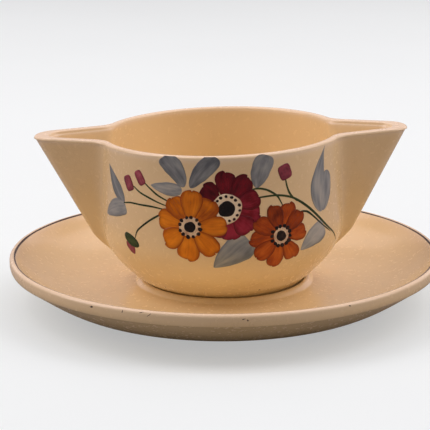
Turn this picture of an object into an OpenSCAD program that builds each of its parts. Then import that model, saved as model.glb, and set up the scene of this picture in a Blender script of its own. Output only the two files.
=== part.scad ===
// Double-lipped gravy boat on its round stand.
// Two glazed earthenware castings: the boat lifts off the stand, and its foot
// sits inside a low locating ridge in the middle of the dish.
// Origin: centre of the stand's foot ring, on the table. +X runs through the spouts.

/* [Stand] */
// Outside radius of the stand
stand_radius = 100; // [94:0.5:106]
// Height of the stand's rim above the table
stand_height = 24; // [23:0.5:27]
// Outside radius of the ring that the stand stands on
stand_foot_radius = 51.4; // [49:0.1:54]
// Height of the dish floor, outside the locating ridge
dish_floor = 8.3; // [8:0.1:8.8]
// Height of the well floor, inside the locating ridge
well_floor = 9.5; // [9:0.1:10]
// Height of the locating ridge's crest above the well floor
ridge_rise = 2.4; // [1.9:0.1:2.5]

/* [Boat] */
// Height of the boat's rim above the table, with the boat on its stand
rim_height = 81; // [74:0.5:90]
// Outside radius of the round body at the rim
body_radius = 56.5; // [54:0.5:59]
// Distance from the axis to each pouring lip
lip_reach = 85.9; // [82:0.1:90]
// Radius of each lip's blunt end at the rim
lip_round = 10.2; // [8:0.1:12]
// Half of the angle between a spout's two flanks
spout_half_angle = 20; // [18:0.5:22]
// Outward lean of the spout's front edge, sideways per unit of height
keel_lean = 0.53; // [0.51:0.001:0.55]
// Wall thickness of the round body
body_wall = 3.5; // [3:0.1:4]
// Wall thickness of a spout's flanks
flank_wall = 4.6; // [4:0.1:5]
// Radius of the ring that the boat stands on
boat_foot_radius = 34.8; // [34:0.1:35]
// Clearance between the boat's foot and the well floor
seat_gap = 0.05; // [0.02:0.01:0.1]
// How far the boat leans towards its left lip, in degrees (0 is dead level)
lean = 1.3; // [0:0.1:1.8]

/* [Hidden] */

glaze = [0.88, 0.76, 0.6];

// Boat: shape of the outside
wall_lean = 0.02;          // the round wall widens this much per unit of height
cone_reach = 26.5;         // the 45 degree lower cone has radius z + this
keel_low = [16.4, 1.39];   // low down, the spout's front edge has radius [0] + [1] * z
shoulder_blend = 9;        // how softly the wall turns into the cone
ridge_apron = 1.6;         // how far the dish's floor climbs towards the ridge
foot_tuck = 1.2;           // how far the cone is drawn in just above the foot ring
tuck_top = 16;             // height up to which it is drawn in
keel_blend = 3;            // how softly the spout's front edge turns in towards the cone
crease_blend = 5;          // how softly a flank meets the round wall
spout_root = 31;           // height at which the spouts grow out of the body
root_round = 2.5;          // radius of the spout's front edge at that height
// Boat: inside, rim and foot
cone_wall = 5.6;           // horizontal thickness of the lower cone
lip_wall = 7.4;            // thickness at the lip's end, at the rim
keel_wall = 5;             // horizontal thickness behind the spout's front edge
inner_round = 1.2;         // smallest radius of the channel's bottom corner
rim_round = 1.4;           // rounding of the rim's two edges
floor_height = 15;         // inside floor
base_recess = 11.4;        // underside, within the foot ring
foot_width = 4.2;          // width of the foot ring
foot_base = well_floor + seat_gap;
lean_pivot = 13;           // height about which the boat leans
lean_span = [10, 14];      // the foot stays flat below [0]; the lean is full above [1]

nose_steps = 5;            // points round half of a lip's blunt end
flank_steps = 8;           // points along a spout's flank
wall_steps = 12;           // points along a quarter of the round wall
curve_steps = 14;          // points along each curve of the stand's section

function smooth_max(a, b, k) = let (h = max(k - abs(a - b), 0) / k) max(a, b) + h * h * k / 4;
function smooth_min(a, b, k) = -smooth_max(-a, -b, k);
function bezier(p, n) = [for (i = [0 : n]) let (t = i / n, s = 1 - t)
    s * s * s * p[0] + 3 * s * s * t * p[1] + 3 * s * t * t * p[2] + t * t * t * p[3]];
function arc(centre, r, a0, a1, n) = [for (i = [0 : n]) let (a = a0 + (a1 - a0) * i / n)
    centre + r * [cos(a), sin(a)]];

// ---- stand ---------------------------------------------------------------

module stand_section() {
    foot_in = stand_foot_radius - 3.4;
    lip = stand_radius - 1.6;
    crest = well_floor + ridge_rise;
    foot = [[0, 3.4], [foot_in - 1.2, 3.4], [foot_in - 0.3, 2.6], [foot_in, 0.5], [foot_in + 0.5, 0],
        [stand_foot_radius - 0.5, 0], [stand_foot_radius, 0.5], [stand_foot_radius + 0.6, 1.9],
        [stand_foot_radius + 2, 2.3]];
    under = bezier([[stand_foot_radius + 10.6, 2.3], [stand_radius - 23, 2],
        [stand_radius - 15.6, stand_height - 15.9], [stand_radius - 1.2, stand_height - 5.8]], curve_steps);
    rim = concat([[stand_radius - 0.3, stand_height - 5.1]], arc([lip, stand_height - 1.6], 1.6, 0, 90, 5));
    inside = bezier([[lip - 1.5, stand_height - 0.65], [stand_radius - 8.5, stand_height - 9.5],
        [stand_radius - 26, dish_floor], [55, dish_floor]], curve_steps);
    apron_top = dish_floor + ridge_apron;
    apron = bezier([[55, dish_floor], [50, dish_floor], [46, apron_top - 0.5], [42, apron_top]], 5);
    ridge = bezier([[42, apron_top], [40.9, apron_top + 0.2], [40.3, crest], [38.6, crest]], 6);
    ridge_back = bezier([[38.6, crest], [37.9, crest], [37.45, crest - 0.4], [37.35, well_floor + 0.8]], 5);
    polygon(concat(foot, under, rim, inside, [for (i = [1 : 5]) apron[i]], [for (i = [1 : 6]) ridge[i]],
        [for (i = [1 : 5]) ridge_back[i]], [[37.2, well_floor], [0, well_floor]]));
}

module stand() {
    color(glaze) rotate_extrude($fn = 128) stand_section();
}

// ---- boat ----------------------------------------------------------------

function tuck(z) = let (t = min(1, max(0, (tuck_top - z) / 5))) foot_tuck * t * t * (3 - 2 * t);
// Outside radius of the round body at height z
function body_out(z) = smooth_min(body_radius - wall_lean * (rim_height - z), z + cone_reach, shoulder_blend)
    - tuck(z);
// Inside radius of the round body at height z
function body_in(z) = smooth_min(body_radius - body_wall - wall_lean * (rim_height - z),
    z + cone_reach - cone_wall, shoulder_blend);

// How far the spout's front edge stands from the axis at height z
function keel_out(z) = smooth_min(lip_reach - keel_lean * (rim_height - z), keel_low[0] + keel_low[1] * z, keel_blend);
function spout_share(z) = max(0, (z - spout_root) / (rim_height - spout_root));
function keel_round(z) = root_round + (lip_round - root_round) * spout_share(z);
function apex_gap() = 1 / sin(spout_half_angle) - 1;
// Where a spout's two flanks would meet at height z
function apex_out(z) = keel_out(z) + keel_round(z) * apex_gap();
function apex_in(z) = apex_out(z) - flank_wall / sin(spout_half_angle);
function keel_in(z) = min(keel_out(z) - keel_wall - (lip_wall - keel_wall) * pow(spout_share(z), 4),
    apex_in(z) - inner_round * apex_gap());

// Radius, at angle t from the spout's middle, of two flanks joined by a round end
function spout_radius(t, apex, reach) = let (
        half = spout_half_angle,
        r = (apex - reach) / apex_gap(),
        centre = apex - r / sin(half),
        edge = atan2(r * cos(half), centre + r * sin(half)))
    t < edge ? centre * cos(t) + sqrt(max(0, r * r - pow(centre * sin(t), 2)))
             : apex * sin(half) / sin(t + half);

function outside(t, z) = smooth_max(body_out(z), spout_radius(t, apex_out(z), keel_out(z)), crease_blend);
function inside(t, z) = smooth_max(body_in(z), spout_radius(t, apex_in(z), keel_in(z)), crease_blend);

// Angle at which a spout's flank, whose two sides would meet at apex, reaches the round wall
function crease(apex, body) = let (h = spout_half_angle)
    max(7, asin(min(1, apex * sin(h) / body)) - h);
// Angle at which a spout's round end gives way to its straight flank
function nose(apex, reach) = let (
        h = spout_half_angle,
        r = (apex - reach) / apex_gap())
    min(6.5, atan2(r * cos(h), apex - r / sin(h) + r * sin(h)));

// Angles from one spout's middle to the next, with one on each crease so that it stays a clean line
function quarter(n, c) = concat(
    [for (i = [0 : nose_steps - 1]) n * i / nose_steps],
    [for (i = [0 : flank_steps - 1]) n + (c - n) * (1 - pow(1 - i / flank_steps, 1.4))],
    [for (i = [0 : wall_steps]) c + (90 - c) * pow(i / wall_steps, 1.5)]);
function half_turn(q) = concat(q, [for (i = [1 : len(q) - 2]) 180 - q[len(q) - 1 - i]]);
function around(q) = let (h = half_turn(q)) concat(h, [for (a = h) a + 180]);
function from_spout(a) = let (b = a % 180) min(b, 180 - b);
function angles_outside(z) = around(quarter(nose(apex_out(z), keel_out(z)), crease(apex_out(z), body_out(z))));
function angles_inside(z) = around(quarter(nose(apex_in(z), keel_in(z)), crease(apex_in(z), body_in(z))));

function ring_outside(z, inset) = [for (a = angles_outside(z)) let (r = outside(from_spout(a), z) - inset)
    [r * cos(a), r * sin(a), z]];
function ring_inside(z, outset, lift) = [for (a = angles_inside(z)) let (r = inside(from_spout(a), z) + outset)
    [r * cos(a), r * sin(a), z + lift]];
function ring_round(r, z) = [for (a = around(quarter(6, 9))) [r * cos(a), r * sin(a), z]];

// Turns a point about the Y axis, as far as the boat leans at height z
function leaning(p, z) = let (
        a = lean * min(1, max(0, (z - lean_span[0]) / (lean_span[1] - lean_span[0]))),
        h = p[2] - lean_pivot)
    [cos(a) * p[0] - sin(a) * h, p[1], lean_pivot + sin(a) * p[0] + cos(a) * h];

// Rings from the middle of the underside, up the outside, over the rim and down to the floor
wall_top = rim_height - rim_round;
boat_rings = concat(
    [ring_round(boat_foot_radius - foot_width - 1.6, base_recess)],
    [ring_round(boat_foot_radius - foot_width, foot_base + 0.4)],
    [ring_round(boat_foot_radius - foot_width + 0.4, foot_base)],
    [ring_round(boat_foot_radius, foot_base)],
    [for (z = [foot_base + 0.7, 11.4, 12.6, 13.8, 15, 17, 21, 25, 28, 31, 34, 38, 44, 52, 60, 68, 75, wall_top]) ring_outside(z, 0)],
    [for (a = [30, 60, 90]) let (drop = rim_round * (1 - sin(a)))
        [for (p = ring_outside(rim_height, rim_round * (1 - cos(a)))) p - [0, 0, drop]]],
    [for (a = [90, 60, 30]) ring_inside(rim_height, rim_round * (1 - cos(a)), -rim_round * (1 - sin(a)))],
    [for (z = [wall_top, 75, 68, 60, 52, 44, 38, 34, 30, 26, 22, 18.5]) ring_inside(z, 0, 0)],
    [ring_round(floor_height + cone_reach - cone_wall - 3, floor_height + 0.6)],
    [ring_round(floor_height + cone_reach - cone_wall - 7, floor_height)]);

module boat() {
    n = len(boat_rings[0]);
    rows = len(boat_rings);
    skins = [for (k = [0 : rows - 1], p = boat_rings[k]) leaning(p, k == 0 ? 0 : p[2])];
    points = concat(skins, [[0, 0, base_recess], leaning([0, 0, floor_height], floor_height)]);
    under = rows * n;
    top = under + 1;
    skin = [for (k = [0 : rows - 2], i = [0 : n - 1]) let (
            a = k * n + i, b = k * n + (i + 1) % n, c = a + n, d = b + n)
        each [[a, c, b], [b, c, d]]];
    underside = [for (i = [0 : n - 1]) [under, i, (i + 1) % n]];
    floor_faces = [for (i = [0 : n - 1]) [top, (rows - 1) * n + (i + 1) % n, (rows - 1) * n + i]];
    color(glaze) polyhedron(points, concat(skin, underside, floor_faces), convexity = 6);
}

stand();
boat();
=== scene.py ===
"""Looks of a two-lipped gravy boat on its stand: cream glaze with a hand-painted flower spray.

Lengths are worked out in millimetres and put into the meshes in metres.
"""
import math

import bpy
import numpy as np
from mathutils import Matrix


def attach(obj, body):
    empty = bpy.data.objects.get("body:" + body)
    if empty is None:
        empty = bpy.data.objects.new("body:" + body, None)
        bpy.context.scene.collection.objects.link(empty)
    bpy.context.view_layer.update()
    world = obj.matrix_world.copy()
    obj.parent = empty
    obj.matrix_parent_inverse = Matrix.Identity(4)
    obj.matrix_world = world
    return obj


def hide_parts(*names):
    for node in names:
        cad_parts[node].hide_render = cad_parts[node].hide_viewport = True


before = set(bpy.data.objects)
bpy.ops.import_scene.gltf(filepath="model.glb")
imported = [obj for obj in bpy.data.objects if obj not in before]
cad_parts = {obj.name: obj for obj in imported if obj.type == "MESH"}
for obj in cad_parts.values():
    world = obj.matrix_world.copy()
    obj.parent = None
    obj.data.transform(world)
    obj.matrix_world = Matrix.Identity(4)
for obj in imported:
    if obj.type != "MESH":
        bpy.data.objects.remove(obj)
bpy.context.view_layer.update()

MM = 0.001

# ---- shapes of the two castings, as in the part's source ----
# R stands for a radius, H for a height and W for a width.

STAND_R, STAND_H, STAND_LIP_R = 100.0, 24.0, 1.6
STAND_FOOT_R, STAND_FOOT_W, STAND_HOLLOW = 51.4, 3.4, 3.4
DISH_FLOOR, WELL_FLOOR, RIDGE_RISE, RIDGE_APRON = 8.3, 9.5, 2.4, 1.6

RIM_H, BODY_R, LIP_REACH, LIP_ROUND = 81.0, 56.5, 85.9, 10.2
SPOUT_HALF = math.radians(20)
KEEL_LEAN, WALL_LEAN = 0.53, 0.02
BODY_WALL, FLANK_WALL, LIP_WALL, KEEL_WALL, CONE_WALL = 3.5, 4.6, 7.4, 5.0, 5.6
BOAT_FOOT_R, FOOT_W, FOOT_BASE, BASE_RECESS = 34.8, 4.2, 9.55, 11.4
FOOT_TUCK, TUCK_TOP, TUCK_SPAN = 1.2, 16.0, 5.0
CONE_REACH, KEEL_LOW_REACH, KEEL_LOW_SLOPE = 26.5, 16.4, 1.39
SHOULDER_BLEND, KEEL_BLEND, CREASE_BLEND = 9.0, 3.0, 5.0
SPOUT_ROOT, ROOT_ROUND, INNER_ROUND, RIM_ROUND = 31.0, 2.5, 1.2, 1.4
# The second length is how far below the rim's rounding the thin glaze and its painted highlight begin.
FLOOR_H, THIN_HIGHLIGHT_SPAN = 15.0, 2.5
LEAN, LEAN_PIVOT, LEAN_SPAN = math.radians(1.3), 13.0, (10.0, 14.0)
APEX_GAP = 1 / math.sin(SPOUT_HALF) - 1


def smooth_max(a, b, k):
    """The larger of a and b, rounded over by k where they are close: max + h^2 k/4, h = (k - |a-b|)/k."""
    h = np.maximum(k - np.abs(a - b), 0) / k
    return np.maximum(a, b) + h * h * k / 4


def smooth_min(a, b, k):
    """The smaller of a and b, rounded under in the same way."""
    return -smooth_max(-a, -b, k)


def body_out(z):
    """Outside radius of the round body: a near-vertical wall, and a 45 degree cone below it, drawn in by
    FOOT_TUCK t^2 (3 - 2t) just above the foot, t = (TUCK_TOP - z) / TUCK_SPAN kept within 0 and 1."""
    t = np.clip((TUCK_TOP - z) / TUCK_SPAN, 0, 1)
    bowl = smooth_min(BODY_R - WALL_LEAN * (RIM_H - z), z + CONE_REACH, SHOULDER_BLEND)
    return bowl - FOOT_TUCK * t * t * (3 - 2 * t)


def body_in(z):
    """Inside radius of the round body: the same two lines, moved in by the wall's thickness."""
    wall = BODY_R - BODY_WALL - WALL_LEAN * (RIM_H - z)
    return smooth_min(wall, z + CONE_REACH - CONE_WALL, SHOULDER_BLEND)


def spout_share(z):
    """0 where the spouts grow out of the body, 1 at the rim."""
    return np.clip((z - SPOUT_ROOT) / (RIM_H - SPOUT_ROOT), 0, None)


def keel_out(z):
    """Reach of a spout's front edge: a leaning line, drawn in towards the cone low down."""
    return smooth_min(LIP_REACH - KEEL_LEAN * (RIM_H - z), KEEL_LOW_REACH + KEEL_LOW_SLOPE * z, KEEL_BLEND)


def apex_out(z):
    """Where a spout's two outside flanks would meet: its reach plus the round end's radius times
    (1/sin h - 1), h being half the angle between the flanks."""
    end_radius = ROOT_ROUND + (LIP_ROUND - ROOT_ROUND) * spout_share(z)
    return keel_out(z) + end_radius * APEX_GAP


def apex_in(z):
    """The same point for the inside, moved in by the flank's thickness over sin h."""
    return apex_out(z) - FLANK_WALL / math.sin(SPOUT_HALF)


def keel_in(z):
    """Reach of the channel's bottom inside a spout, thickest behind the lip."""
    wall = KEEL_WALL + (LIP_WALL - KEEL_WALL) * spout_share(z) ** 4
    return np.minimum(keel_out(z) - wall, apex_in(z) - INNER_ROUND * APEX_GAP)


def spout_radius(t, apex, reach):
    """Polar radius of two straight flanks, apex sin h / sin(t + h), joined by a circle tangent to both."""
    h = SPOUT_HALF
    r = (apex - reach) / APEX_GAP
    centre = apex - r / math.sin(h)
    edge = np.arctan2(r * math.cos(h), centre + r * math.sin(h))
    end = centre * np.cos(t) + np.sqrt(np.maximum(0, r * r - (centre * np.sin(t)) ** 2))
    return np.where(t < edge, end, apex * math.sin(h) / np.sin(t + h))


def from_spout(a):
    """Angle from the nearer spout's middle, 0 to 90 degrees, for any angle round the boat."""
    b = np.mod(a, math.pi)
    return np.minimum(b, math.pi - b)


def outside(a, z):
    """Outside radius of the boat at angle a and height z: body and spout, smoothly joined at the crease."""
    return smooth_max(body_out(z), spout_radius(from_spout(a), apex_out(z), keel_out(z)), CREASE_BLEND)


def inside(a, z):
    """Inside radius of the boat at angle a and height z."""
    return smooth_max(body_in(z), spout_radius(from_spout(a), apex_in(z), keel_in(z)), CREASE_BLEND)


# What ring_angles() takes for each skin.
OUTER, INNER = (apex_out, keel_out, body_out), (apex_in, keel_in, body_in)


def leaning(p, share_z):
    """Turns points about the Y axis through the pivot height, fully where share_z is above LEAN_SPAN and
    not at all where it is below."""
    lo, hi = LEAN_SPAN
    a = LEAN * np.clip((share_z - lo) / (hi - lo), 0, 1)
    x, y, h = p[..., 0], p[..., 1], p[..., 2] - LEAN_PIVOT
    return np.stack([np.cos(a) * x - np.sin(a) * h, y, LEAN_PIVOT + np.sin(a) * x + np.cos(a) * h], -1)


# The widest a lip's end may be, the nearest a crease may be, and how the points crowd towards a crease.
END_ANGLE, CREASE_ANGLE, CROWDING = math.radians(6.5), math.radians(7), 1.4


def ring_angles(apex, reach, body, steps=(9, 18, 40)):
    """Angles round the boat for each height: even round a lip's end, then closer towards the crease on
    both sides. steps counts the three stretches of a quarter turn."""
    h = SPOUT_HALF
    r = (apex - reach) / APEX_GAP
    end = np.arctan2(r * math.cos(h), apex - r / math.sin(h) + r * math.sin(h))
    end = np.minimum(END_ANGLE, end)[:, None]
    crease = np.arcsin(np.minimum(1, apex * math.sin(h) / body)) - h
    crease = np.maximum(CREASE_ANGLE, crease)[:, None]
    i, j, k = (np.arange(s) / s for s in steps)
    k = np.append(k, 1.0)
    flank = end + (crease - end) * (1 - (1 - j) ** CROWDING)
    quarter = np.hstack([end * i, flank, crease + (math.pi / 2 - crease) * k ** CROWDING])
    half = np.hstack([quarter, math.pi - quarter[:, -2:0:-1]])
    return np.hstack([half, half + math.pi])


def bezier(points, n):
    """A cubic curve: s^3 p0 + 3 s^2 t p1 + 3 s t^2 p2 + t^3 p3, s = 1 - t, at n + 1 even steps of t."""
    t = np.linspace(0, 1, n + 1)[:, None]
    s, p = 1 - t, np.asarray(points, float)
    return s ** 3 * p[0] + 3 * s * s * t * p[1] + 3 * s * t * t * p[2] + t ** 3 * p[3]


# ---- meshes ----

def new_piece(name, verts_mm, faces, body, material, uv=None, marks=None):
    """A smooth-shaded mesh from points in mm, which rides on a body. uv and marks are one value per point."""
    mesh = bpy.data.meshes.new(name)
    mesh.from_pydata((verts_mm * MM).tolist(), [], faces)
    mesh.polygons.foreach_set("use_smooth", np.ones(len(mesh.polygons), bool))
    if uv is not None:
        corner = np.empty(len(mesh.loops), np.int32)
        mesh.loops.foreach_get("vertex_index", corner)
        mesh.uv_layers.new(name="stroke").data.foreach_set("uv", uv[corner].ravel().astype(np.float32))
    for key, value in (marks or {}).items():
        mesh.attributes.new(key, "FLOAT", "POINT").data.foreach_set("value", value.astype(np.float32))
    mesh.materials.append(material)
    mesh.update()
    piece = bpy.data.objects.new(name, mesh)
    bpy.context.scene.collection.objects.link(piece)
    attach(piece, body)
    return piece


def loop_faces(rows, n, flip=False):
    """Quads between rows of n points that close on themselves."""
    k, i = np.meshgrid(np.arange(rows - 1), np.arange(n), indexing="ij")
    a, b = k * n + i, k * n + (i + 1) % n
    q = np.stack([a, b, b + n, a + n], -1).reshape(-1, 4)
    return (q[:, ::-1] if flip else q).tolist()


def skin_faces(rows, n):
    """Quads between closed rows of n points, and a fan at each end to the two points that follow them."""
    i = np.arange(n)
    j = (i + 1) % n
    first, last, last_row = rows * n, rows * n + 1, (rows - 1) * n
    faces = loop_faces(rows, n) + np.stack([np.full(n, first), j, i], 1).tolist()
    return faces + np.stack([np.full(n, last), last_row + i, last_row + j], 1).tolist()


# The apex, reach and body radius whose ring angles the foot's and the floor's rows share, and heights well
# below and well above LEAN_SPAN.
ROUND_ROW = (64.0, 58.0, 54.0)
UPRIGHT, LEANT = 0.0, 99.0


def boat_mesh():
    """The boat as rows of points: from the middle of the underside out to the foot, up the outside,
    over the rim in two quarter circles, down the inside and in to the middle of the floor.
    A row is angle a -> (R(a, z) cos a, R(a, z) sin a, z), leant about the Y axis."""
    rows, thin_and_highlight, bare = [], [], []

    def add(points, share, thin_glaze_and_highlight, bare_clay):
        """Keeps some rows of points, leant by share, with their marks for thin glaze (which also paints a
        highlight) and bare clay.
        """
        rows.append(leaning(points, share))
        thin_and_highlight.append(np.broadcast_to(thin_glaze_and_highlight, points.shape[:2]))
        bare.append(np.broadcast_to(bare_clay, points.shape[:2]))

    def plain(radii, heights, share, bare_clay):
        """Round rows, all leant by one share."""
        r, z = (np.asarray(v, float)[:, None] for v in (radii, heights))
        a = ring_angles(*(np.full(len(r), v) for v in ROUND_ROW))
        p = np.stack([r * np.cos(a), r * np.sin(a), z + 0 * a], -1)
        add(p, np.full(a.shape, share), 0.0, np.asarray(bare_clay, float)[:, None])

    foot_in, foot_out = BOAT_FOOT_R - FOOT_W, BOAT_FOOT_R
    plain([6, 16, 25, foot_in - 1.6, foot_in - 0.7, foot_in - 0.1],
          [BASE_RECESS] * 3 + [BASE_RECESS - 0.1, BASE_RECESS - 0.7, FOOT_BASE + 0.4],
          UPRIGHT, [0, 0, 0, 0, 0, 0.3])
    plain([foot_in + 0.4, foot_in + 1.2, foot_out - 1.0, foot_out], [FOOT_BASE] * 4, UPRIGHT, [1] * 4)

    def wall(shape, skin, z, offset, lift, thin_glaze_and_highlight):
        """Rows of the outside or the inside at heights z, moved out by offset and up by lift."""
        a = ring_angles(*(part(z) for part in skin))
        r = shape(a, z[:, None]) + offset[:, None]
        p = np.stack([r * np.cos(a), r * np.sin(a), z[:, None] + lift[:, None] + 0 * a], -1)
        add(p, p[..., 2], thin_glaze_and_highlight[:, None], 0.0)

    def thinning_and_highlight(z):
        """How thin the glaze has run, and how strong the highlight painted on the rim is: 0 up to
        THIN_HIGHLIGHT_SPAN below the rim's rounding, and 1 at the rounding.
        """
        return np.clip((z - top + THIN_HIGHLIGHT_SPAN) / THIN_HIGHLIGHT_SPAN, 0, 1) ** 2

    top = RIM_H - RIM_ROUND
    z = np.concatenate([np.linspace(FOOT_BASE + 0.5, 30, 36), np.linspace(30.8, top, 58)])
    wall(outside, OUTER, z, 0 * z, 0 * z, thinning_and_highlight(z))
    turn = np.radians(np.linspace(0, 90, 9)[1:])
    z = np.full(len(turn), RIM_H)
    inset, drop = RIM_ROUND * (1 - np.cos(turn)), RIM_ROUND * (1 - np.sin(turn))
    # Over the rim's rounding the thin glaze mark rises to 1 at the top, which also paints a highlight along
    # the rim.
    wall(outside, OUTER, z, -inset, -drop, np.sin(turn))
    wall(inside, INNER, z, inset[::-1], -drop[::-1], np.sin(turn)[::-1])
    z = np.linspace(top, 18.5, 66)
    wall(inside, INNER, z, 0 * z, 0 * z, thinning_and_highlight(z))
    cone_in = FLOOR_H + CONE_REACH - CONE_WALL
    curve = bezier([[39.4, 18.5], [cone_in + 0.6, 15.6], [cone_in - 3, 15.05], [26, FLOOR_H]], 10)[1:]
    curve = np.vstack([curve, [[18, FLOOR_H], [9, FLOOR_H]]])
    plain(curve[:, 0], curve[:, 1], LEANT, [0] * len(curve))

    points = np.concatenate([r.reshape(-1, 3) for r in rows])
    n = rows[0].shape[1]
    ends = [[0, 0, BASE_RECESS], leaning(np.array([0.0, 0.0, FLOOR_H]), LEANT)]
    marks = {key: np.append(np.concatenate([v.ravel() for v in part]), [0, 0])
             for key, part in (("thin_and_highlight", thin_and_highlight), ("bare", bare))}
    return np.vstack([points, ends]), skin_faces(len(points) // n, n), marks


def stand_section():
    """The stand's section: points (radius, height) from the middle of the underside, out, over and in."""
    foot_in, foot_out, low = STAND_FOOT_R - STAND_FOOT_W, STAND_FOOT_R, STAND_HOLLOW
    lip, lip_low = STAND_R - STAND_LIP_R, STAND_H - STAND_LIP_R
    crest, apron_top = WELL_FLOOR + RIDGE_RISE, DISH_FLOOR + RIDGE_APRON
    turn = np.radians(np.linspace(0, 90, 10))
    parts = [
        # the hollow underside and the foot ring
        np.array([[12, low], [30, low], [44, low], [foot_in - 1.2, low - 0.1], [foot_in - 0.4, low - 0.8],
                  [foot_in - 0.05, 0.6], [foot_in + 0.15, 0.15], [foot_in + 0.5, 0], [foot_in + 1.7, 0],
                  [foot_out - 0.5, 0], [foot_out - 0.15, 0.15], [foot_out, 0.5],
                  [foot_out + 0.6, 1.9], [foot_out + 2, 2.3]]),
        # the outside, up to the rim's rounded lip
        bezier([[foot_out + 10.6, 2.3], [STAND_R - 23, 2], [STAND_R - 15.6, STAND_H - 15.9],
                [STAND_R - 1.2, STAND_H - 5.8]], 34),
        np.array([[STAND_R - 0.55, STAND_H - 5.45], [STAND_R - 0.2, STAND_H - 4.7],
                  [STAND_R, STAND_H - 3.6]]),
        np.stack([lip + STAND_LIP_R * np.cos(turn), lip_low + STAND_LIP_R * np.sin(turn)], 1),
        # the dish, down to its floor and in to the well
        np.array([[lip - 0.5, STAND_H - 0.14]]),
        bezier([[lip - 1.5, STAND_H - 0.65], [STAND_R - 8.5, STAND_H - 9.5], [STAND_R - 26, DISH_FLOOR],
                [55, DISH_FLOOR]], 44),
        bezier([[55, DISH_FLOOR], [50, DISH_FLOOR], [46, apron_top - 0.5], [42, apron_top]], 12)[1:],
        bezier([[42, apron_top], [40.9, apron_top + 0.2], [40.3, crest], [38.6, crest]], 14)[1:],
        bezier([[38.6, crest], [37.9, crest], [37.45, crest - 0.4], [37.35, WELL_FLOOR + 0.8]], 9)[1:],
        np.array([[37.2, WELL_FLOOR], [30, WELL_FLOOR], [15, WELL_FLOOR]]),
    ]
    return np.vstack(parts)


def stand_mesh(n=288):
    """The section turned about the Z axis: (r, h) -> (r cos a, r sin a, h). The glaze is thin, and a
    highlight is painted, by e^(-(d^2)/5) at d millimetres from the rim's crest, and the foot ring's flat is
    bare."""
    s = stand_section()
    a = np.linspace(0, 2 * math.pi, n, endpoint=False)[None, :]
    r, h = s[:, :1], s[:, 1:]
    points = np.stack([r * np.cos(a), r * np.sin(a), h + 0 * a], -1).reshape(-1, 3)
    points = np.vstack([points, [[0, 0, STAND_HOLLOW], [0, 0, WELL_FLOOR]]])
    radius, height = np.hypot(points[:, 0], points[:, 1]), points[:, 2]
    from_crest = (radius - (STAND_R - STAND_LIP_R)) ** 2 + (height - STAND_H) ** 2
    marks = {
        # Thin glaze along the rim's crest, which also paints a highlight along it.
        "thin_and_highlight": np.exp(-from_crest / 5.0),
        "bare": ((height < 0.1) & (radius > 40)).astype(float),
    }
    return points, skin_faces(len(s), n), marks


# ---- painting on the wall ----
# The painter's sheet is flat: u is millimetres round the wall from the middle of a side, to the right,
# and v is millimetres down the wall from the rim.

def lengths_along(points):
    """How far each point is from the first, measured along the line through them."""
    return np.concatenate([[0], np.cumsum(np.hypot(*np.diff(points, axis=0).T))])


WALL_R, BACK_DROP = 55.5, 1.6
WALL_Z = np.linspace(FOOT_BASE + 0.5, RIM_H, 1200)
WALL_UP = lengths_along(np.stack([WALL_Z, body_out(WALL_Z)], 1))
WALL_DOWN = WALL_UP[-1] - WALL_UP


def on_wall(u, v, lift, middle):
    """A point of the sheet laid on the boat: angle u / WALL_R from the side's middle, the height at which
    the wall is v long from the rim, and the outside surface there plus lift along its own normal."""
    def at(uu, vv):
        a = middle + uu / WALL_R
        z = np.interp(vv, WALL_DOWN[::-1], WALL_Z[::-1])
        r = outside(a, z)
        return leaning(np.stack([r * np.cos(a), r * np.sin(a), z], -1), z)

    d = 0.25
    p = at(u, v)
    across = at(u + d, v) - at(u - d, v)
    along = at(u, v + d) - at(u, v - d)
    normal = np.cross(along, across)
    normal /= np.linalg.norm(normal, axis=-1, keepdims=True) + 1e-12
    outward = np.sign(np.sum(normal[..., :2] * p[..., :2], -1, keepdims=True))
    return p + normal * outward * np.asarray(lift)[..., None]


def on_front(u, v, lift):
    """The sheet on the side that faces -Y."""
    return on_wall(u, v, lift, math.radians(-90))


def on_back(u, v, lift):
    """The sheet on the side that faces +Y, BACK_DROP lower than on the front."""
    return on_wall(u, v + BACK_DROP, lift, math.radians(90))


SECTION = stand_section()
SECTION_LENGTH = lengths_along(SECTION)
CREST_AT = SECTION_LENGTH[np.argmax(SECTION[:, 1])]


def on_section(length):
    """Radius and height of the stand's section that far along it."""
    return (np.interp(length, SECTION_LENGTH, SECTION[:, i]) for i in (0, 1))


def on_stand(u, v, lift):
    """A point of a strip laid on the stand: angle u / STAND_R from the front, and v millimetres along the
    section from the rim's crest, outwards when negative, plus lift along the section's normal."""
    at, d = v + CREST_AT, 0.1
    r, h = on_section(at)
    r_before, h_before = on_section(at - d)
    r_after, h_after = on_section(at + d)
    dr, dh = r_after - r_before, h_after - h_before
    size = np.hypot(dr, dh)
    r, h = r + lift * dh / size, h - lift * dr / size
    a = -math.pi / 2 + u / STAND_R
    return np.stack([r * np.cos(a), r * np.sin(a), h], -1)


# How far inside the glaze the back of a coat lies.
COAT_BACK = -0.03


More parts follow.
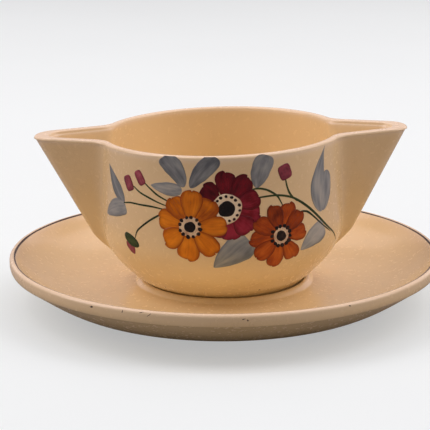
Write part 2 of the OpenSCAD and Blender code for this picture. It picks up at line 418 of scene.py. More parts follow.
def enamel(name, patches, surface, body, base, colour, relief, climb=0.0):
    """One thin fired coat made of patches. A patch is a grid of sheet points (rows along the stroke, columns
    across it) and a tone. Its top stands base + relief (1 - |2c - 1|^6)(1 - |2r - 1|^10) above the glaze,
    where r and c run 0 to 1 along and across, and each patch lies climb above the one before. Its back lies
    just inside the glaze, and its edges are joined."""
    verts, faces, uvs, tones, start = [], [], [], [], 0
    for k, (sheet, tone) in enumerate(patches):
        rows, cols = sheet.shape[:2]
        r, c = np.meshgrid(np.linspace(0, 1, rows), np.linspace(0, 1, cols), indexing="ij")
        dome = (1 - np.abs(2 * c - 1) ** 6) * (1 - np.abs(2 * r - 1) ** 10)
        top = surface(sheet[..., 0], sheet[..., 1], base + climb * k + relief * dome)
        back = surface(sheet[..., 0], sheet[..., 1], np.full((rows, cols), COAT_BACK))
        i = np.arange(rows * cols).reshape(rows, cols)
        q = np.stack([i[:-1, :-1], i[:-1, 1:], i[1:, 1:], i[1:, :-1]], -1).reshape(-1, 4)
        hem = np.concatenate([i[0, :-1], i[:-1, -1], i[-1, :0:-1], i[:0:-1, 0]])
        nxt, n = np.roll(hem, -1), rows * cols
        block = np.vstack([q, q[:, ::-1] + n, np.stack([hem, hem + n, nxt + n, nxt], 1)])
        m = (rows // 2, cols // 2)
        facing = np.cross(top[m[0], m[1] + 1] - top[m], top[m[0] + 1, m[1]] - top[m])
        flip = np.dot(facing, top[m] - back[m]) < 0
        faces.append((block[:, ::-1] if flip else block) + start)
        verts += [top.reshape(-1, 3), back.reshape(-1, 3)]
        uvs += [np.stack([c.ravel(), r.ravel()], 1)] * 2
        tones.append(np.full(2 * n, tone))
        start += 2 * n
    return new_piece(name, np.vstack(verts), np.vstack(faces).tolist(), body,
                     colour["look"], np.vstack(uvs), {"tone": np.concatenate(tones)})


def turned(points, centre, angle):
    """Points turned by angle about the origin, then moved to centre."""
    c, s = math.cos(angle), math.sin(angle)
    x, y = points[..., 0], points[..., 1]
    return np.stack([centre[0] + c * x - s * y, centre[1] + s * x + c * y], -1)


def any_phase(rng):
    """A random phase for wobble(), anywhere in one turn."""
    return rng.uniform(0, 6.28)


def wobble(t, amount, phase):
    """A hand's unsteadiness along t: three sines of 1, 2.3 and 4.1 turns."""
    slow, fast = np.sin(6.28 * t + phase), np.sin(25.8 * t + 5 * phase)
    return amount * (slow + 0.6 * np.sin(14.5 * t + 2 * phase) + 0.35 * fast)


def eased(n):
    """n places from 0 to 1, closer together towards both ends: (1 - cos(pi t)) / 2."""
    return (1 - np.cos(np.linspace(0, 1, n) * math.pi)) / 2


# Where along a petal it is widest.
SHOULDER = 0.66


def petal(inner, outer, half_width, phase, rows=25, cols=15):
    """One brush petal along +x. It widens from its root to the shoulder at s = .66 of its length, and ends
    as a rounded oval, w(t) = half_width (1 - ((t - s)/.345)^2.5)^(1/2.1), with a slight dent at the end."""
    t = 0.35 * np.linspace(0, 1, rows) + 0.65 * eased(rows)
    root = 0.36 + 0.64 * np.sin(np.clip(t / SHOULDER, 0, 1) * math.pi / 2) ** 1.05
    tip = np.clip(1 - np.clip((t - SHOULDER) / 0.345, 0, 1) ** 2.5, 0, 1) ** (1 / 2.1)
    w = half_width * np.where(t < SHOULDER, root, tip) * (1 + wobble(t, 0.025, phase))
    s = np.linspace(-1, 1, cols)[None, :]
    dent = 0.045 * np.exp(-((s - 0.25 * math.sin(phase)) / 0.3) ** 2) * t[:, None] ** 6
    slope = 0.05 * math.sin(2 * phase) * s * t[:, None] ** 3
    x = inner + (outer - inner) * t[:, None] * (1 - dent + slope)
    return np.stack([x + 0 * s, w[:, None] * s], -1)


def flower(centre, inner, petals, half_width, rng, upper):
    """Petals round centre, each an angle (degrees from +u towards +v) and a reach, sized and toned a little
    differently by hand. upper is how much darker the petals above the eye are than those level with it."""
    patches = []
    for k in rng.permutation(len(petals)):
        angle = math.radians(petals[k][0]) + rng.uniform(-0.02, 0.02)
        shape = petal(inner, petals[k][1] * rng.uniform(0.985, 1.015), half_width * rng.uniform(0.95, 1.05),
                      any_phase(rng))
        tone = 0.5 - upper * math.sin(angle) + rng.uniform(-0.22, 0.22)
        patches.append((turned(shape, centre, angle), min(max(tone, 0.0), 1.0)))
    return patches


def blob(centre, radius, rng, rough, squash=1.0, angle=0.0, rows=9, cols=9):
    """A round dab: the unit square carried to a disc by x sqrt(1 - y^2/2), y sqrt(1 - x^2/2), with an
    uneven edge."""
    x, y = np.meshgrid(np.linspace(-1, 1, cols), np.linspace(-1, 1, rows))
    p, q = x * np.sqrt(1 - y * y / 2), y * np.sqrt(1 - x * x / 2)
    a, phase = np.arctan2(q, p), any_phase(rng)
    waves = np.sin(2 * a + phase) + 0.7 * np.sin(3 * a + 2.2 * phase) + 0.5 * np.sin(5 * a + phase)
    edge = 1 + rough * waves
    shape = np.stack([p * edge * radius, q * edge * radius * squash], -1)
    return turned(shape, centre, angle), rng.uniform(0, 1)


def dots(centre, ring, radius, count, rng, start):
    """Small dabs at nearly even angles on a ring, from the angle start."""
    spots = []
    for k in range(count):
        a = start + 2 * math.pi * k / count + rng.uniform(-0.06, 0.06)
        r = ring * rng.uniform(0.95, 1.05)
        spots.append(blob((centre[0] + r * math.cos(a), centre[1] + r * math.sin(a)),
                          radius * rng.uniform(0.85, 1.15), rng, 0.06, rows=7, cols=7))
    return spots


def along_curve(points, n):
    """A smooth line through points (a Catmull-Rom spline), at n places, and its unit tangent."""
    p = np.asarray(points, float)
    p = np.vstack([2 * p[0] - p[1], p, 2 * p[-1] - p[-2]])
    x = np.linspace(0, len(p) - 3 - 1e-9, n)
    i, t = x.astype(int), (x % 1)[:, None]
    a, b, c, d = p[i], p[i + 1], p[i + 2], p[i + 3]
    xy = 0.5 * (2 * b + (c - a) * t + (2 * a - 5 * b + 4 * c - d) * t ** 2 + (3 * b - a - 3 * c + d) * t ** 3)
    tangent = np.gradient(xy, axis=0)
    return xy, tangent / np.linalg.norm(tangent, axis=1, keepdims=True)


# A stem's width where the brush lands and where it lifts, as a share of its full width.
STEM_START, STEM_END = 0.5, 0.15


def stroke(points, half_width, rng, rows=34, cols=5):
    """A stem: a line of the brush that swells in the middle and thins to STEM_START and STEM_END."""
    xy, tangent = along_curve(points, rows)
    t = np.linspace(0, 1, rows)
    ends = STEM_START + (STEM_END - STEM_START) * t
    swell = ends + (1 - ends) * np.sin(math.pi * t) ** 0.6
    w = half_width * swell * (1 + wobble(t, 0.07, any_phase(rng)))
    across = np.stack([-tangent[:, 1], tangent[:, 0]], 1)
    s = np.linspace(-1, 1, cols)
    return xy[:, None, :] + across[:, None, :] * (w[:, None] * s[None, :])[..., None], rng.uniform(0, 1)


def leaf(root, tip, half_width, rng, bend=0.0, belly=(0.45, 0.85), skew=0.0, tone=0.5, rows=30, cols=13):
    """A one-stroke leaf from its blunt root to its pointed tip along a bowed midrib. Its half-width is
    half_width t^p (1 - t)^q over that curve's own peak, and skew slides one edge ahead of the other."""
    root, tip = np.asarray(root, float), np.asarray(tip, float)
    span = tip - root
    side = np.array([-span[1], span[0]]) / np.linalg.norm(span)
    t = eased(rows)
    p, q = belly
    peak = (p / (p + q)) ** p * (q / (p + q)) ** q
    w = half_width * t ** p * (1 - t) ** q / peak * (1 + wobble(t, 0.03, any_phase(rng)))
    s = np.linspace(-1, 1, cols)
    bow = 4 * bend * t * (1 - t)
    slide = np.clip(t[:, None] + skew * s[None, :] * np.sin(math.pi * t[:, None]), 0, 1)
    xy = root + span * slide[..., None] + side * (bow[:, None] + w[:, None] * s[None, :])[..., None]
    return xy, min(max(tone + rng.uniform(-0.2, 0.2), 0.0), 1.0)


def bud(centre, half_width, half_length, angle, rng):
    """A closed bud: a rounded oblong, the unit square drawn in to x (1 - .2 y^4), y (1 - .12 x^4)."""
    x, y = np.meshgrid(np.linspace(-1, 1, 9), np.linspace(-1, 1, 13))
    shape = np.stack([x * half_width * (1 - 0.2 * y ** 4), y * half_length * (1 - 0.12 * x ** 4)], -1)
    return turned(shape, centre, angle), rng.uniform(0.3, 0.7)


# ---- glazes and enamels ----

def linear(rgb, light=1.0):
    """A screen colour (0 to 255) as linear light, divided by the light that falls on it, with alpha."""
    c = np.asarray(rgb, float) / 255
    c = np.where(c <= 0.04045, c / 12.92, ((c + 0.055) / 1.055) ** 2.4) / light
    return (*np.clip(c, 0, 0.95).tolist(), 1.0)


def node(tree, kind, inputs=None, **settings):
    """A shader node with its settings made and its inputs set or linked, by name or place."""
    n = tree.nodes.new(kind)
    for key, value in settings.items():
        setattr(n, key, value)
    for key, value in (inputs or {}).items():
        if isinstance(value, bpy.types.NodeSocket):
            tree.links.new(value, n.inputs[key])
        else:
            n.inputs[key].default_value = value
    return n


def sums(tree, operation, a, b=0.0, c=0.0, clamp=False):
    """One step of arithmetic; returns its result socket."""
    return node(tree, "ShaderNodeMath", {0: a, 1: b, 2: c}, operation=operation, use_clamp=clamp).outputs[0]


def step(tree, value, low, high, to_low=0.0, to_high=1.0):
    """value carried smoothly from low..high to to_low..to_high."""
    return node(tree, "ShaderNodeMapRange", {"Value": value, "From Min": low, "From Max": high,
                                             "To Min": to_low, "To Max": to_high},
                interpolation_type="SMOOTHSTEP").outputs["Result"]


def blend(tree, fac, a, b):
    """Colours a and b mixed by fac. 6, 7 and 2 are a Mix node's colour sockets."""
    return node(tree, "ShaderNodeMix", {0: fac, 6: a, 7: b}, data_type="RGBA").outputs[2]


def noise(tree, vector, scale, detail=3.0, rough=0.5):
    """Cloudy noise from 0 to 1."""
    return node(tree, "ShaderNodeTexNoise", {"Vector": vector, "Scale": scale, "Detail": detail,
                                             "Roughness": rough}).outputs["Fac"]


def shader_group(name, inputs, outputs):
    """An empty shader node group with named sockets; returns it and its two end nodes."""
    g = bpy.data.node_groups.new(name, "ShaderNodeTree")
    for label, kind, value in inputs:
        s = g.interface.new_socket(label, in_out="INPUT", socket_type="NodeSocket" + kind)
        s.default_value = value
    for label, kind in outputs:
        g.interface.new_socket(label, in_out="OUTPUT", socket_type="NodeSocket" + kind)
    return g, g.nodes.new("NodeGroupInput").outputs, g.nodes.new("NodeGroupOutput").inputs


WHITE, CRAZE_STAIN, IRON = (1, 1, 1, 1), (0.20, 0.11, 0.05, 1), (0.13, 0.06, 0.03, 1)


def glaze_group():
    """Fired cream glaze: clouds of paler and toasted glaze, fine mottling, iron specks 0.2 to 0.7 mm wide,
    faint crazing in 3 mm cells, paler where the glaze has run thin and where a highlight is painted on the
    rims, and bare clay under the foot."""
    g, i, o = shader_group(
        "fired_glaze",
        [("Place", "Vector", (0, 0, 0)), ("Cream", "Color", WHITE), ("Toasted", "Color", WHITE),
         ("Thin Highlight Colour", "Color", WHITE), ("Clay", "Color", WHITE), ("Clouding", "Float", 0.5),
         ("Specks", "Float", 0.5), ("Crazing", "Float", 0.5), ("Thin Highlight", "Float", 0.0), ("Bare", "Float", 0.0)],
        [("Color", "Color"), ("Roughness", "Float"), ("Height", "Float")])
    cloud = noise(g, i["Place"], 17.0, 4.0, 0.55)
    mottle = noise(g, i["Place"], 420.0, 3.0, 0.6)
    sway = node(g, "ShaderNodeTexNoise",
                {"Vector": i["Place"], "Scale": 90.0, "Detail": 2.0}).outputs["Color"]
    warped = node(g, "ShaderNodeVectorMath", {0: sway, 1: (0.004, 0.004, 0.004), 2: i["Place"]},
                  operation="MULTIPLY_ADD").outputs[0]
    cells = node(g, "ShaderNodeTexVoronoi", {"Vector": warped, "Scale": 330.0},
                 feature="DISTANCE_TO_EDGE")
    craze = sums(g, "MULTIPLY", step(g, cells.outputs["Distance"], 0.0, 0.035, 1.0, 0.0), i["Crazing"])
    craze = sums(g, "MULTIPLY", craze, step(g, cloud, 0.42, 0.6))
    spot = node(g, "ShaderNodeTexVoronoi", {"Vector": warped, "Scale": 150.0})
    rare = node(g, "ShaderNodeSeparateColor", {0: spot.outputs["Color"]})
    size = step(g, rare.outputs[1], 0.0, 1.0, 0.015, 0.05)
    dot = sums(g, "LESS_THAN", spot.outputs["Distance"], size)
    speck = sums(g, "MULTIPLY", dot, sums(g, "GREATER_THAN", rare.outputs[0], 0.93))
    speck = sums(g, "MULTIPLY", speck, i["Specks"])
    clouded = sums(g, "MULTIPLY", step(g, cloud, 0.3, 0.72), i["Clouding"])
    shade = sums(g, "MULTIPLY_ADD", sums(g, "SUBTRACT", mottle, 0.5), 0.5, clouded, clamp=True)
    color = blend(g, shade, i["Cream"], i["Toasted"])
    # Paler where the glaze runs thin, which also paints a highlight on the rims.
    color = blend(g, sums(g, "MULTIPLY", i["Thin Highlight"], 0.55), color, i["Thin Highlight Colour"])
    color = blend(g, sums(g, "MULTIPLY", craze, 0.22), color, CRAZE_STAIN)
    color = blend(g, speck, color, IRON)
    color = blend(g, i["Bare"], color, i["Clay"])
    rough = sums(g, "MULTIPLY_ADD", mottle, 0.12, 0.20)
    rough = sums(g, "MULTIPLY_ADD", speck, 0.2, sums(g, "MULTIPLY_ADD", i["Bare"], 0.6, rough))
    ripple = noise(g, i["Place"], 46.0, 2.0, 0.4)
    height = sums(g, "MULTIPLY_ADD", mottle, 0.05, ripple)
    height = sums(g, "MULTIPLY_ADD", craze, -0.012, height)
    for label, socket in (("Color", color), ("Roughness", rough), ("Height", height)):
        g.links.new(socket, o[label])
    return g


def brush_group():
    """A loaded brush's stroke on a sheet whose x runs 0 to 1 across it and y 0 to 1 along it: fine hair
    lines, wet blooms, a pooled rim of width Rim where the colour dried last, and the stroke's own tone."""
    g, i, o = shader_group(
        "brush_stroke",
        [("Sheet", "Vector", (0, 0, 0)), ("Tone", "Float", 0.5), ("Hairs", "Float", 14.0),
         ("Bloom", "Float", 0.5), ("Rim", "Float", 0.1)],
        [("Shade", "Float"), ("Pool", "Float"), ("Root", "Float"), ("Height", "Float")])
    xyz = node(g, "ShaderNodeSeparateXYZ", {0: i["Sheet"]}).outputs
    seed = sums(g, "MULTIPLY", i["Tone"], 37.0)
    lines = node(g, "ShaderNodeCombineXYZ", {0: sums(g, "MULTIPLY", xyz[0], i["Hairs"]),
                                             1: sums(g, "MULTIPLY", xyz[1], 1.7), 2: seed}).outputs[0]
    hairs = noise(g, lines, 1.0, 3.0, 0.65)
    wet = node(g, "ShaderNodeCombineXYZ", {0: sums(g, "MULTIPLY", xyz[0], 2.2),
                                           1: sums(g, "MULTIPLY", xyz[1], 2.6), 2: seed}).outputs[0]
    bloom = noise(g, wet, 1.0, 2.0, 0.5)
    shade = sums(g, "MULTIPLY_ADD", sums(g, "SUBTRACT", hairs, 0.5), 0.7, 0.5)
    blooming = sums(g, "MULTIPLY", i["Bloom"], 2.2)
    shade = sums(g, "MULTIPLY_ADD", sums(g, "SUBTRACT", bloom, 0.5), blooming, shade)
    shade = sums(g, "MULTIPLY_ADD", sums(g, "SUBTRACT", i["Tone"], 0.5), 0.6, shade, clamp=True)
    near_x = sums(g, "MINIMUM", xyz[0], sums(g, "SUBTRACT", 1.0, xyz[0]))
    near_y = sums(g, "SUBTRACT", 1.0, xyz[1])
    near = sums(g, "MINIMUM", near_x, near_y)
    near = sums(g, "MULTIPLY_ADD", sums(g, "SUBTRACT", bloom, 0.5), 0.08, near)
    pool = node(g, "ShaderNodeMapRange", {"Value": near, "From Min": 0.0, "From Max": i["Rim"],
                                          "To Min": 1.0, "To Max": 0.0}).outputs[0]
    pool = sums(g, "POWER", pool, 1.9)
    root = step(g, xyz[1], 0.02, 0.4, 1.0, 0.0)
    height = sums(g, "MULTIPLY_ADD", pool, 0.5, hairs)
    for label, socket in (("Shade", shade), ("Pool", pool), ("Root", root), ("Height", height)):
        g.links.new(socket, o[label])
    return g


GLAZE, BRUSH = glaze_group(), brush_group()


def new_look(name):
    """An empty material and its tree, with a Principled shader linked to the output."""
    m = bpy.data.materials.new(name)
    m.use_nodes = True
    t = m.node_tree
    t.nodes.clear()
    shader = t.nodes.new("ShaderNodeBsdfPrincipled")
    t.links.new(shader.outputs[0], t.nodes.new("ShaderNodeOutputMaterial").inputs["Surface"])
    return m, t, shader


# A paler glaze colour for the rims: thin glaze, and a painted highlight there.
THIN_GLAZE_HIGHLIGHT, CLAY = (0.92, 0.80, 0.62, 1), linear((224, 206, 180))


def glaze_look(name, cream, toasted, clouding, specks, crazing):
    """The cream glaze on one casting, read from the casting's own Object coordinates and its marks for thin
    glaze with a painted highlight, and for bare clay."""
    m, t, shader = new_look(name)
    place = node(t, "ShaderNodeTexCoord").outputs["Object"]
    thin_and_highlight = node(t, "ShaderNodeAttribute", attribute_name="thin_and_highlight").outputs["Fac"]
    bare = node(t, "ShaderNodeAttribute", attribute_name="bare").outputs["Fac"]
    g = node(t, "ShaderNodeGroup", {"Place": place, "Cream": cream, "Toasted": toasted, "Clay": CLAY,
                                    "Thin Highlight Colour": THIN_GLAZE_HIGHLIGHT, "Clouding": clouding, "Specks": specks,
                                    "Crazing": crazing, "Thin Highlight": thin_and_highlight, "Bare": bare}, node_tree=GLAZE)
    bump = node(t, "ShaderNodeBump", {"Height": g.outputs["Height"], "Strength": 0.35, "Distance": 0.0006})
    t.links.new(g.outputs["Color"], shader.inputs["Base Color"])
    t.links.new(g.outputs["Roughness"], shader.inputs["Roughness"])
    t.links.new(bump.outputs[0], shader.inputs["Normal"])
    shader.inputs["IOR"].default_value = 1.5
    shader.inputs["Coat Weight"].default_value = 0.2
    shader.inputs["Coat Roughness"].default_value = 0.12
    return m


def paint(name, slot, light, mid, dark, hairs, bloom, rim, pooled, rooted=0.0, rough=0.2):
    """One enamel colour. The stroke's shade runs from light through mid to dark, and its pooled rim and its
    root go towards dark too."""
    m, t, shader = new_look(name)
    sheet = node(t, "ShaderNodeUVMap", uv_map="stroke").outputs[0]
    tone = node(t, "ShaderNodeAttribute", attribute_name="tone").outputs["Fac"]
    g = node(t, "ShaderNodeGroup", {"Sheet": sheet, "Tone": tone, "Hairs": hairs, "Bloom": bloom,
                                    "Rim": rim}, node_tree=BRUSH)
    ramp = node(t, "ShaderNodeValToRGB", {0: g.outputs["Shade"]})
    bar = ramp.color_ramp
    bar.elements[0].position, bar.elements[0].color = 0.15, light
    bar.elements[1].position, bar.elements[1].color = 0.9, dark
    bar.elements.new(0.5).color = mid
    color = blend(t, sums(t, "MULTIPLY", g.outputs["Pool"], pooled), ramp.outputs[0], dark)
    color = blend(t, sums(t, "MULTIPLY", g.outputs["Root"], rooted), color, dark)
    bump = node(t, "ShaderNodeBump", {"Height": g.outputs["Height"], "Strength": 0.5, "Distance": 0.00012})
    gloss = sums(t, "MULTIPLY_ADD", g.outputs["Shade"], 0.12, rough)
    t.links.new(color, shader.inputs["Base Color"])
    t.links.new(gloss, shader.inputs["Roughness"])
    t.links.new(bump.outputs[0], shader.inputs["Normal"])
    shader.inputs["Specular IOR Level"].default_value = 0.2
    return {"look": m, "slot": slot}


# How bright a white upright wall looks under the lamps, in red, green and blue.
WALL_LIGHT = np.array([0.60, 0.50, 0.49])


def pigment(r, g, b):
    """A colour as it looks on the upright wall, under the warm light that reaches it there."""
    return linear((r, g, b), WALL_LIGHT)


CREAM = (0.87, 0.69, 0.375, 1)
BOAT_GLAZE = glaze_look("boat_cream_glaze", CREAM, (0.83, 0.635, 0.32, 1), 0.5, 0.45, 0.4)
STAND_GLAZE = glaze_look("stand_cream_glaze", CREAM, (0.82, 0.625, 0.31, 1), 0.55, 0.6, 0.4)

ORANGE = paint("orange_petal_enamel", "orange_enamel",
               pigment(196, 112, 20), pigment(172, 88, 8), pigment(112, 42, 3),
               hairs=9, bloom=0.35, rim=0.3, pooled=0.95, rooted=0.45)
CRIMSON = paint("crimson_petal_enamel", "crimson_enamel",
                pigment(128, 30, 44), pigment(96, 10, 20), pigment(54, 2, 8),
                hairs=9, bloom=0.4, rim=0.34, pooled=0.8, rooted=0.45)
RUST = paint("rust_petal_enamel", "rust_enamel",
             pigment(164, 76, 20), pigment(136, 52, 9), pigment(84, 25, 4),
             hairs=9, bloom=0.4, rim=0.34, pooled=0.85, rooted=0.5)
PINK = paint("pink_bud_enamel", "pink_enamel",
             pigment(150, 72, 80), pigment(122, 52, 60), pigment(76, 22, 32),
             hairs=6, bloom=0.4, rim=0.34, pooled=0.7)
LEAF = paint("blue_grey_leaf_wash", "leaf_enamel",
             pigment(144, 134, 126), pigment(116, 112, 110), pigment(78, 77, 80),
             hairs=6, bloom=0.5, rim=0.2, pooled=0.5, rough=0.26)
GREEN = paint("green_stem_enamel", "green_enamel",
              pigment(54, 62, 34), pigment(38, 50, 28), pigment(18, 28, 16),
              hairs=4, bloom=0.6, rim=0.5, pooled=0.5)
BLACK = paint("black_eye_enamel", "black_enamel",
              pigment(44, 30, 24), pigment(20, 13, 11), pigment(8, 6, 6),
              hairs=5, bloom=0.5, rim=0.2, pooled=0.4)
PALE = paint("pale_ring_enamel", "cream_enamel",
             pigment(200, 174, 148), pigment(188, 158, 130), pigment(150, 110, 86),
             hairs=8, bloom=0.5, rim=0.16, pooled=0.5, rough=0.24)
BROWN = paint("brown_line_enamel", "brown_enamel",
              pigment(94, 70, 58), pigment(60, 42, 35), pigment(32, 20, 16),
              hairs=3, bloom=0.9, rim=0.3, pooled=0.3)

# ---- the castings ----

boat_points, boat_faces, boat_marks = boat_mesh()
boat = new_piece("boat_glazed", boat_points, boat_faces, "boat", BOAT_GLAZE,
                 marks=boat_marks)
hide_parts("boat")
stand_points, stand_faces, stand_marks = stand_mesh()
stand = new_piece("stand_glazed", stand_points, stand_faces, "stand", STAND_GLAZE,
                  marks=stand_marks)
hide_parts("stand")

# ---- the flower spray, laid out on the painter's sheet ----

ORANGE_AT, CRIMSON_AT, RUST_AT = (-14.4, 31.4), (1.8, 23.3), (26.2, 37.6)

# Each leaf's root, tip and half-width, how its midrib bows and where it is broadest.
LEAVES = [
    dict(root=(-49.2, 24.8), tip=(-60.6, 8.2), half_width=3.7, bend=-0.9, belly=(0.75, 1.15), tone=0.75),
    dict(root=(-48.4, 26.0), tip=(-67.4, 33.0), half_width=4.3, bend=1.0, belly=(0.26, 0.72), tone=0.7),
    dict(root=(-25.4, 0.5), tip=(-16.3, 13.5), half_width=4.4, bend=-1.3, belly=(0.24, 0.55), tone=0.65),
    dict(root=(-17.4, 15.2), tip=(-32.3, 13.8), half_width=3.0, bend=-0.2, belly=(0.45, 0.8)),
    dict(root=(-1.7, 0.4), tip=(-13.7, 13.7), half_width=3.9, bend=0.8, belly=(0.3, 0.55), tone=0.85),
    dict(root=(19.9, 0.5), tip=(14.8, 14.7), half_width=4.7, bend=0.5, belly=(0.3, 0.62), tone=0.6),
    dict(root=(49.6, 31.0), tip=(52.9, 1.2), half_width=5.2, bend=-3.2, belly=(0.6, 1.35)),
    dict(root=(51.6, 30.8), tip=(54.2, 12.8), half_width=4.2, bend=0.9, belly=(0.5, 0.42)),
    dict(root=(52.2, 38.0), tip=(36.8, 46.2), half_width=5.2, belly=(0.22, 0.8), skew=0.1, tone=0.25),
    dict(root=(11.4, 38.2), tip=(-4.6, 50.2), half_width=6.3, belly=(0.22, 0.74), skew=0.06),
]

# Each stem's places and half-width.
STEMS = [
    ([(-42.3, 15.6), (-38.7, 17.9), (-34.4, 19.5), (-28.6, 21.5), (-22.4, 23.2)], 0.42),
    ([(-36.1, 12.9), (-32.4, 15.8), (-28.5, 18.4), (-21.6, 21.4)], 0.42),
    ([(-49.7, 24.4), (-44.9, 23.6), (-38.8, 23.6), (-31.4, 23.7), (-22.4, 24.8)], 0.42),
    ([(-26.6, 26.4), (-29.3, 27.4), (-34.0, 30.2), (-39.0, 33.8), (-41.7, 36.3), (-43.2, 39.8)], 0.46),
    ([(10.6, 15.6), (15.2, 15.0), (18.5, 15.6), (21.4, 17.0), (24.4, 19.3), (26.1, 22.0),
      (27.8, 25.6)], 0.46),
    ([(13.0, 19.2), (20.5, 18.9), (25.7, 19.2), (31.6, 20.9), (36.0, 23.4), (41.3, 27.2),
      (46.8, 31.8), (54.1, 38.0), (61.5, 43.4), (67.0, 48.6)], 0.56),
    ([(35.6, 29.0), (37.5, 28.4), (40.8, 29.2), (44.6, 32.0), (50.8, 37.0), (58.4, 42.2)], 0.46),
    ([(28.6, 12.2), (29.5, 16.2), (31.2, 19.7), (34.6, 23.2)], 0.46),
]

# Each petal's angle and how far it reaches from the flower's middle.
ORANGE_PETALS = [(-85, 16.7), (-48, 16.1), (-2, 16.1), (47, 16.2), (95, 15.6), (147, 14.4), (194, 14.9),
                 (238, 15.0)]
CRIMSON_PETALS = [(-134, 14.6), (-92, 16.8), (-55, 16.8), (-18, 15.2), (14, 14.9), (47, 14.9), (82, 14.3),
                  (117, 13.6), (151, 13.2), (186, 13.0)]
RUST_PETALS = [(-106, 14.8), (-72, 15.2), (-40, 14.3), (-1, 13.4), (56, 13.4), (106, 14.9), (143, 14.7),
               (179, 14.8), (215, 14.4)]

# How far above the glaze each coat starts, so that a later coat covers an earlier one.
LEAF_LEVEL, STEM_LEVEL, BUD_LEVEL, CALYX_LEVEL = 0.012, 0.040, 0.052, 0.075
CRIMSON_LEVEL, CRIMSON_EYE_LEVEL = 0.064, 0.098
OUTER_LEVEL, OUTER_EYE_LEVEL = 0.122, 0.156


def flower_spray(side, surface, seed):
    """The whole spray on one side of the boat, painted in the order a hand would: leaves, stems, buds, the
    crimson flower and its eye, then the orange and rust flowers and theirs."""
    rng = np.random.default_rng(seed)

    def coat(name, patches, base, colour, relief=0.01, climb=0.0):
        """One coat of a colour on this side; relief and climb are as in enamel()."""
        enamel(name + "_" + side, patches, surface, "boat", base, colour, relief, climb)

    def eye(name, centre, base, ring, black, dot_ring, dot, count, start):
        """A flower's eye: a pale ring, a black middle and count black dots round it, from radii."""
        coat(name + "_ring", [blob(centre, ring, rng, 0.04, rows=21, cols=21)], base, PALE, 0.006)
        coat(name + "_eye", [blob(centre, black, rng, 0.04, rows=15, cols=15)], base + 0.010, BLACK)
        coat(name + "_dots", dots(centre, dot_ring, dot, count, rng, start), base + 0.010, BLACK)

    coat("leaf_washes", [leaf(rng=rng, **spec) for spec in LEAVES], LEAF_LEVEL, LEAF, 0.008, 0.002)
    coat("stems", [stroke(points, width, rng) for points, width in STEMS], STEM_LEVEL, GREEN, 0.008, 0.002)
    buds = [bud((-45.3, 14.7), 2.5, 3.6, -0.4, rng), bud((-38.2, 11.3), 2.2, 3.5, -0.5, rng),
            bud((28.4, 9.1), 3.1, 3.5, -0.34, rng)]
    coat("pink_buds", buds, BUD_LEVEL, PINK, 0.02)
    opening = leaf((-47.6, 41.0), (-44.4, 47.4), 2.7, rng, belly=(0.3, 0.7), tone=0.8)
    coat("bud_tip", [opening], BUD_LEVEL, PINK, 0.02)
    calyx = blob((-45.7, 41.0), 5.0, rng, 0.03, squash=0.5, angle=0.42, rows=13, cols=13)
    coat("bud_calyx", [calyx], CALYX_LEVEL, GREEN, 0.02)
    petals = flower(CRIMSON_AT, 5.4, CRIMSON_PETALS, 4.5, rng, 0.4)
    coat("crimson_petals", petals, CRIMSON_LEVEL, CRIMSON, 0.004, 0.003)
    eye("crimson", CRIMSON_AT, CRIMSON_EYE_LEVEL, 6.7, 3.6, 5.55, 0.72, 15, 0.1)
    petals = flower(ORANGE_AT, 3.6, ORANGE_PETALS, 4.9, rng, 0.1)
    coat("orange_petals", petals, OUTER_LEVEL, ORANGE, 0.004, 0.003)
    petals = flower(RUST_AT, 3.2, RUST_PETALS, 4.0, rng, 0.15)
    coat("rust_petals", petals, OUTER_LEVEL, RUST, 0.004, 0.003)
    eye("orange", ORANGE_AT, OUTER_EYE_LEVEL, 4.7, 2.5, 4.6, 0.85, 12, 0.2)
    eye("rust", RUST_AT, OUTER_EYE_LEVEL, 3.8, 2.4, 4.5, 0.92, 14, 0.1)


flower_spray("front", on_front, 11)
flower_spray("back", on_back, 23)


def rim_line(n=360):
    """The painted line round the stand: a flat closed section carried round the rim, whose middle and width
    both wander a little with the angle, as a brush does."""
    a = np.linspace(0, 2 * math.pi, n, endpoint=False)
    middle = 0.78 + 0.07 * np.sin(3 * a + 1) + 0.05 * np.sin(7 * a) + 0.03 * np.sin(19 * a + 2)
    width = 0.46 * (1 + 0.12 * np.sin(2 * a) + 0.1 * np.sin(11 * a + 1) + 0.06 * np.sin(31 * a))
    s = np.array([-1, -0.8, -0.3, 0.3, 0.8, 1, 0.8, 0, -0.8])
    lift = np.array([0.005, 0.035, 0.05, 0.05, 0.035, 0.005, -0.03, -0.03, -0.03])
    u = np.broadcast_to(a * STAND_R, (len(s), n))
    v = middle + width * s[:, None]
    p = on_stand(u, v, lift[:, None] + 0 * v)
    faces = (np.array(loop_faces(len(s) + 1, n, flip=True)) % (len(s) * n)).tolist()
    uv = np.stack([np.broadcast_to((s[:, None] + 1) / 2, u.shape), u / 12.0], -1).reshape(-1, 2)
    return new_piece("stand_rim_line", p.reshape(-1, 3), faces, "stand", BROWN["look"], uv,
                     {"tone": np.full(len(s) * n, 0.5)})


rim_line()


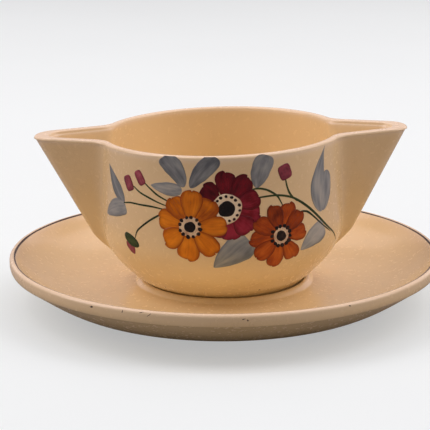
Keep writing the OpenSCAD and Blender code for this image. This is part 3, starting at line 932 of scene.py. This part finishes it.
def small_marks():
    """Chips on the stand's rim and kiln specks by the boat's foot: uneven dabs. A chip is its angle round
    the rim in degrees, its place along the section, its size, its flatness and its turn."""
    rng = np.random.default_rng(5)
    degree = STAND_R * math.pi / 180
    chips = [(-34.5, -2.6, 0.9, 0.35, 0.1), (-25.6, -2.2, 0.6, 0.35, 1.5), (-20.6, -1.6, 0.9, 0.16, 0.3),
             (-18.6, -2.4, 1.0, 0.15, 0.7), (4.2, -2.8, 0.6, 0.3, 0.1), (5.2, -3.4, 0.42, 0.7, 0.0),
             (31.6, -1.9, 0.4, 0.8, 0.0), (118.0, -2.0, 0.8, 0.3, 0.2), (-148.0, -2.4, 0.6, 0.4, 1.0)]
    spots = [blob((a * degree, v), size, rng, 0.22, flat, turn, rows=11, cols=11)
             for a, v, size, flat, turn in chips]
    enamel("rim_chips", spots, on_stand, "stand", 0.004, BROWN, relief=0.012)
    kiln = [blob((-37.5, 69.0), 0.4, rng, 0.2, 0.7), blob((21.0, 70.0), 0.55, rng, 0.2, 0.8),
            blob((-12.0, 70.4), 0.25, rng, 0.2)]
    enamel("kiln_specks", kiln, on_front, "boat", 0.004, BROWN, relief=0.02)


small_marks()

# ---- studio ----

# The lamps' colour: warm, a little pink beside the glaze's yellow.
WARM = (1.08, 0.905, 0.935)


def studio_floor():
    """A plain pale sheet for the ware to stand on. It looks paler than the light that it sends back up."""
    m, t, shader = new_look("pale_floor")
    place = node(t, "ShaderNodeTexCoord").outputs["Object"]
    grain = noise(t, place, 3.0)
    seen = blend(t, grain, (0.44, 0.525, 0.52, 1), (0.455, 0.545, 0.54, 1))
    bounced = blend(t, grain, (0.36, 0.36, 0.36, 1), (0.40, 0.40, 0.40, 1))
    watched = node(t, "ShaderNodeLightPath").outputs["Is Camera Ray"]
    t.links.new(blend(t, watched, bounced, seen), shader.inputs["Base Color"])
    lift = blend(t, grain, (0.95, 0.95, 0.95, 1), (1.0, 1.0, 1.0, 1))
    t.links.new(blend(t, watched, (0, 0, 0, 1), lift), shader.inputs["Emission Color"])
    shader.inputs["Emission Strength"].default_value = 0.44
    shader.inputs["Roughness"].default_value = 0.9
    shader.inputs["Specular IOR Level"].default_value = 0.0
    mesh = bpy.data.meshes.new("studio_floor")
    r = 5.0
    mesh.from_pydata([(-r, -r, 0), (r, -r, 0), (r, r, 0), (-r, r, 0)], [], [(0, 1, 2, 3)])
    mesh.materials.append(m)
    floor = bpy.data.objects.new("studio_floor", mesh)
    bpy.context.scene.collection.objects.link(floor)


def aimed(position, target, roll=0.0):
    """A placing that looks from position to target, level, then rolled."""
    position, target = np.asarray(position, float), np.asarray(target, float)
    back = (position - target) / np.linalg.norm(position - target)
    right = np.cross([0, 0, 1], back)
    if np.linalg.norm(right) < 1e-6:
        right = np.array([1.0, 0, 0])
    right /= np.linalg.norm(right)
    up = np.cross(back, right)
    c, s = math.cos(roll), math.sin(roll)
    right, up = c * right - s * up, s * right + c * up
    return Matrix([[right[k], up[k], back[k], position[k]] for k in range(3)] + [[0, 0, 0, 1]])


def softbox(name, position, size, power):
    """A flat rectangular light aimed at the middle of the ware."""
    data = bpy.data.lights.new(name, "AREA")
    data.shape, data.size, data.size_y = "RECTANGLE", size[0], size[1]
    data.energy, data.color = power, WARM
    lamp = bpy.data.objects.new(name, data)
    lamp.matrix_world = aimed(position, (0, 0, 0.04))
    bpy.context.scene.collection.objects.link(lamp)


def studio_light():
    """Warm soft light, nearly all of it from above: broad boxes over the ware to the left, right, middle and
    back, two weaker ones low behind it, and a little light all round."""
    world = bpy.data.worlds.new("soft_daylight")
    world.use_nodes = True
    world.node_tree.nodes["Background"].inputs["Color"].default_value = (*WARM, 1)
    world.node_tree.nodes["Background"].inputs["Strength"].default_value = 0.18
    bpy.context.scene.world = world
    softbox("left_high_box", (-0.9, 0.0, 0.95), (0.8, 1.2), 7.7)
    softbox("right_high_box", (0.9, 0.0, 0.95), (0.8, 1.2), 6.8)
    softbox("overhead_box", (0.0, 0.0, 1.2), (1.2, 1.2), 2.7)
    softbox("back_high_box", (0.0, 0.8, 1.0), (1.2, 0.8), 2.7)
    softbox("back_left_box", (-0.85, 0.85, 0.45), (0.8, 0.7), 1.1)
    softbox("back_right_box", (0.85, 0.85, 0.45), (0.8, 0.7), 1.6)
    softbox("far_back_panel", (0.0, 2.2, 0.6), (4.0, 1.1), 3.4)
    softbox("far_front_panel", (0.0, -2.2, 0.7), (4.0, 1.1), 1.8)


def studio_camera():
    """Looks down at 14.8 degrees along +Y, from 800 mm."""
    distance, elevation = 800.0, math.radians(14.76)
    target = np.array([-4.24, 0.0, 40.4])
    place = target + distance * np.array([0, -math.cos(elevation), math.sin(elevation)])
    data = bpy.data.cameras.new("studio_camera")
    data.sensor_width, data.lens = 36.0, 143.7
    data.clip_start, data.clip_end = 0.05, 20.0
    camera = bpy.data.objects.new("studio_camera", data)
    camera.matrix_world = aimed(place * MM, target * MM, math.radians(0.31))
    bpy.context.scene.collection.objects.link(camera)
    bpy.context.scene.camera = camera


studio_floor()
studio_light()
studio_camera()
bpy.context.scene.view_settings.view_transform = "Standard"
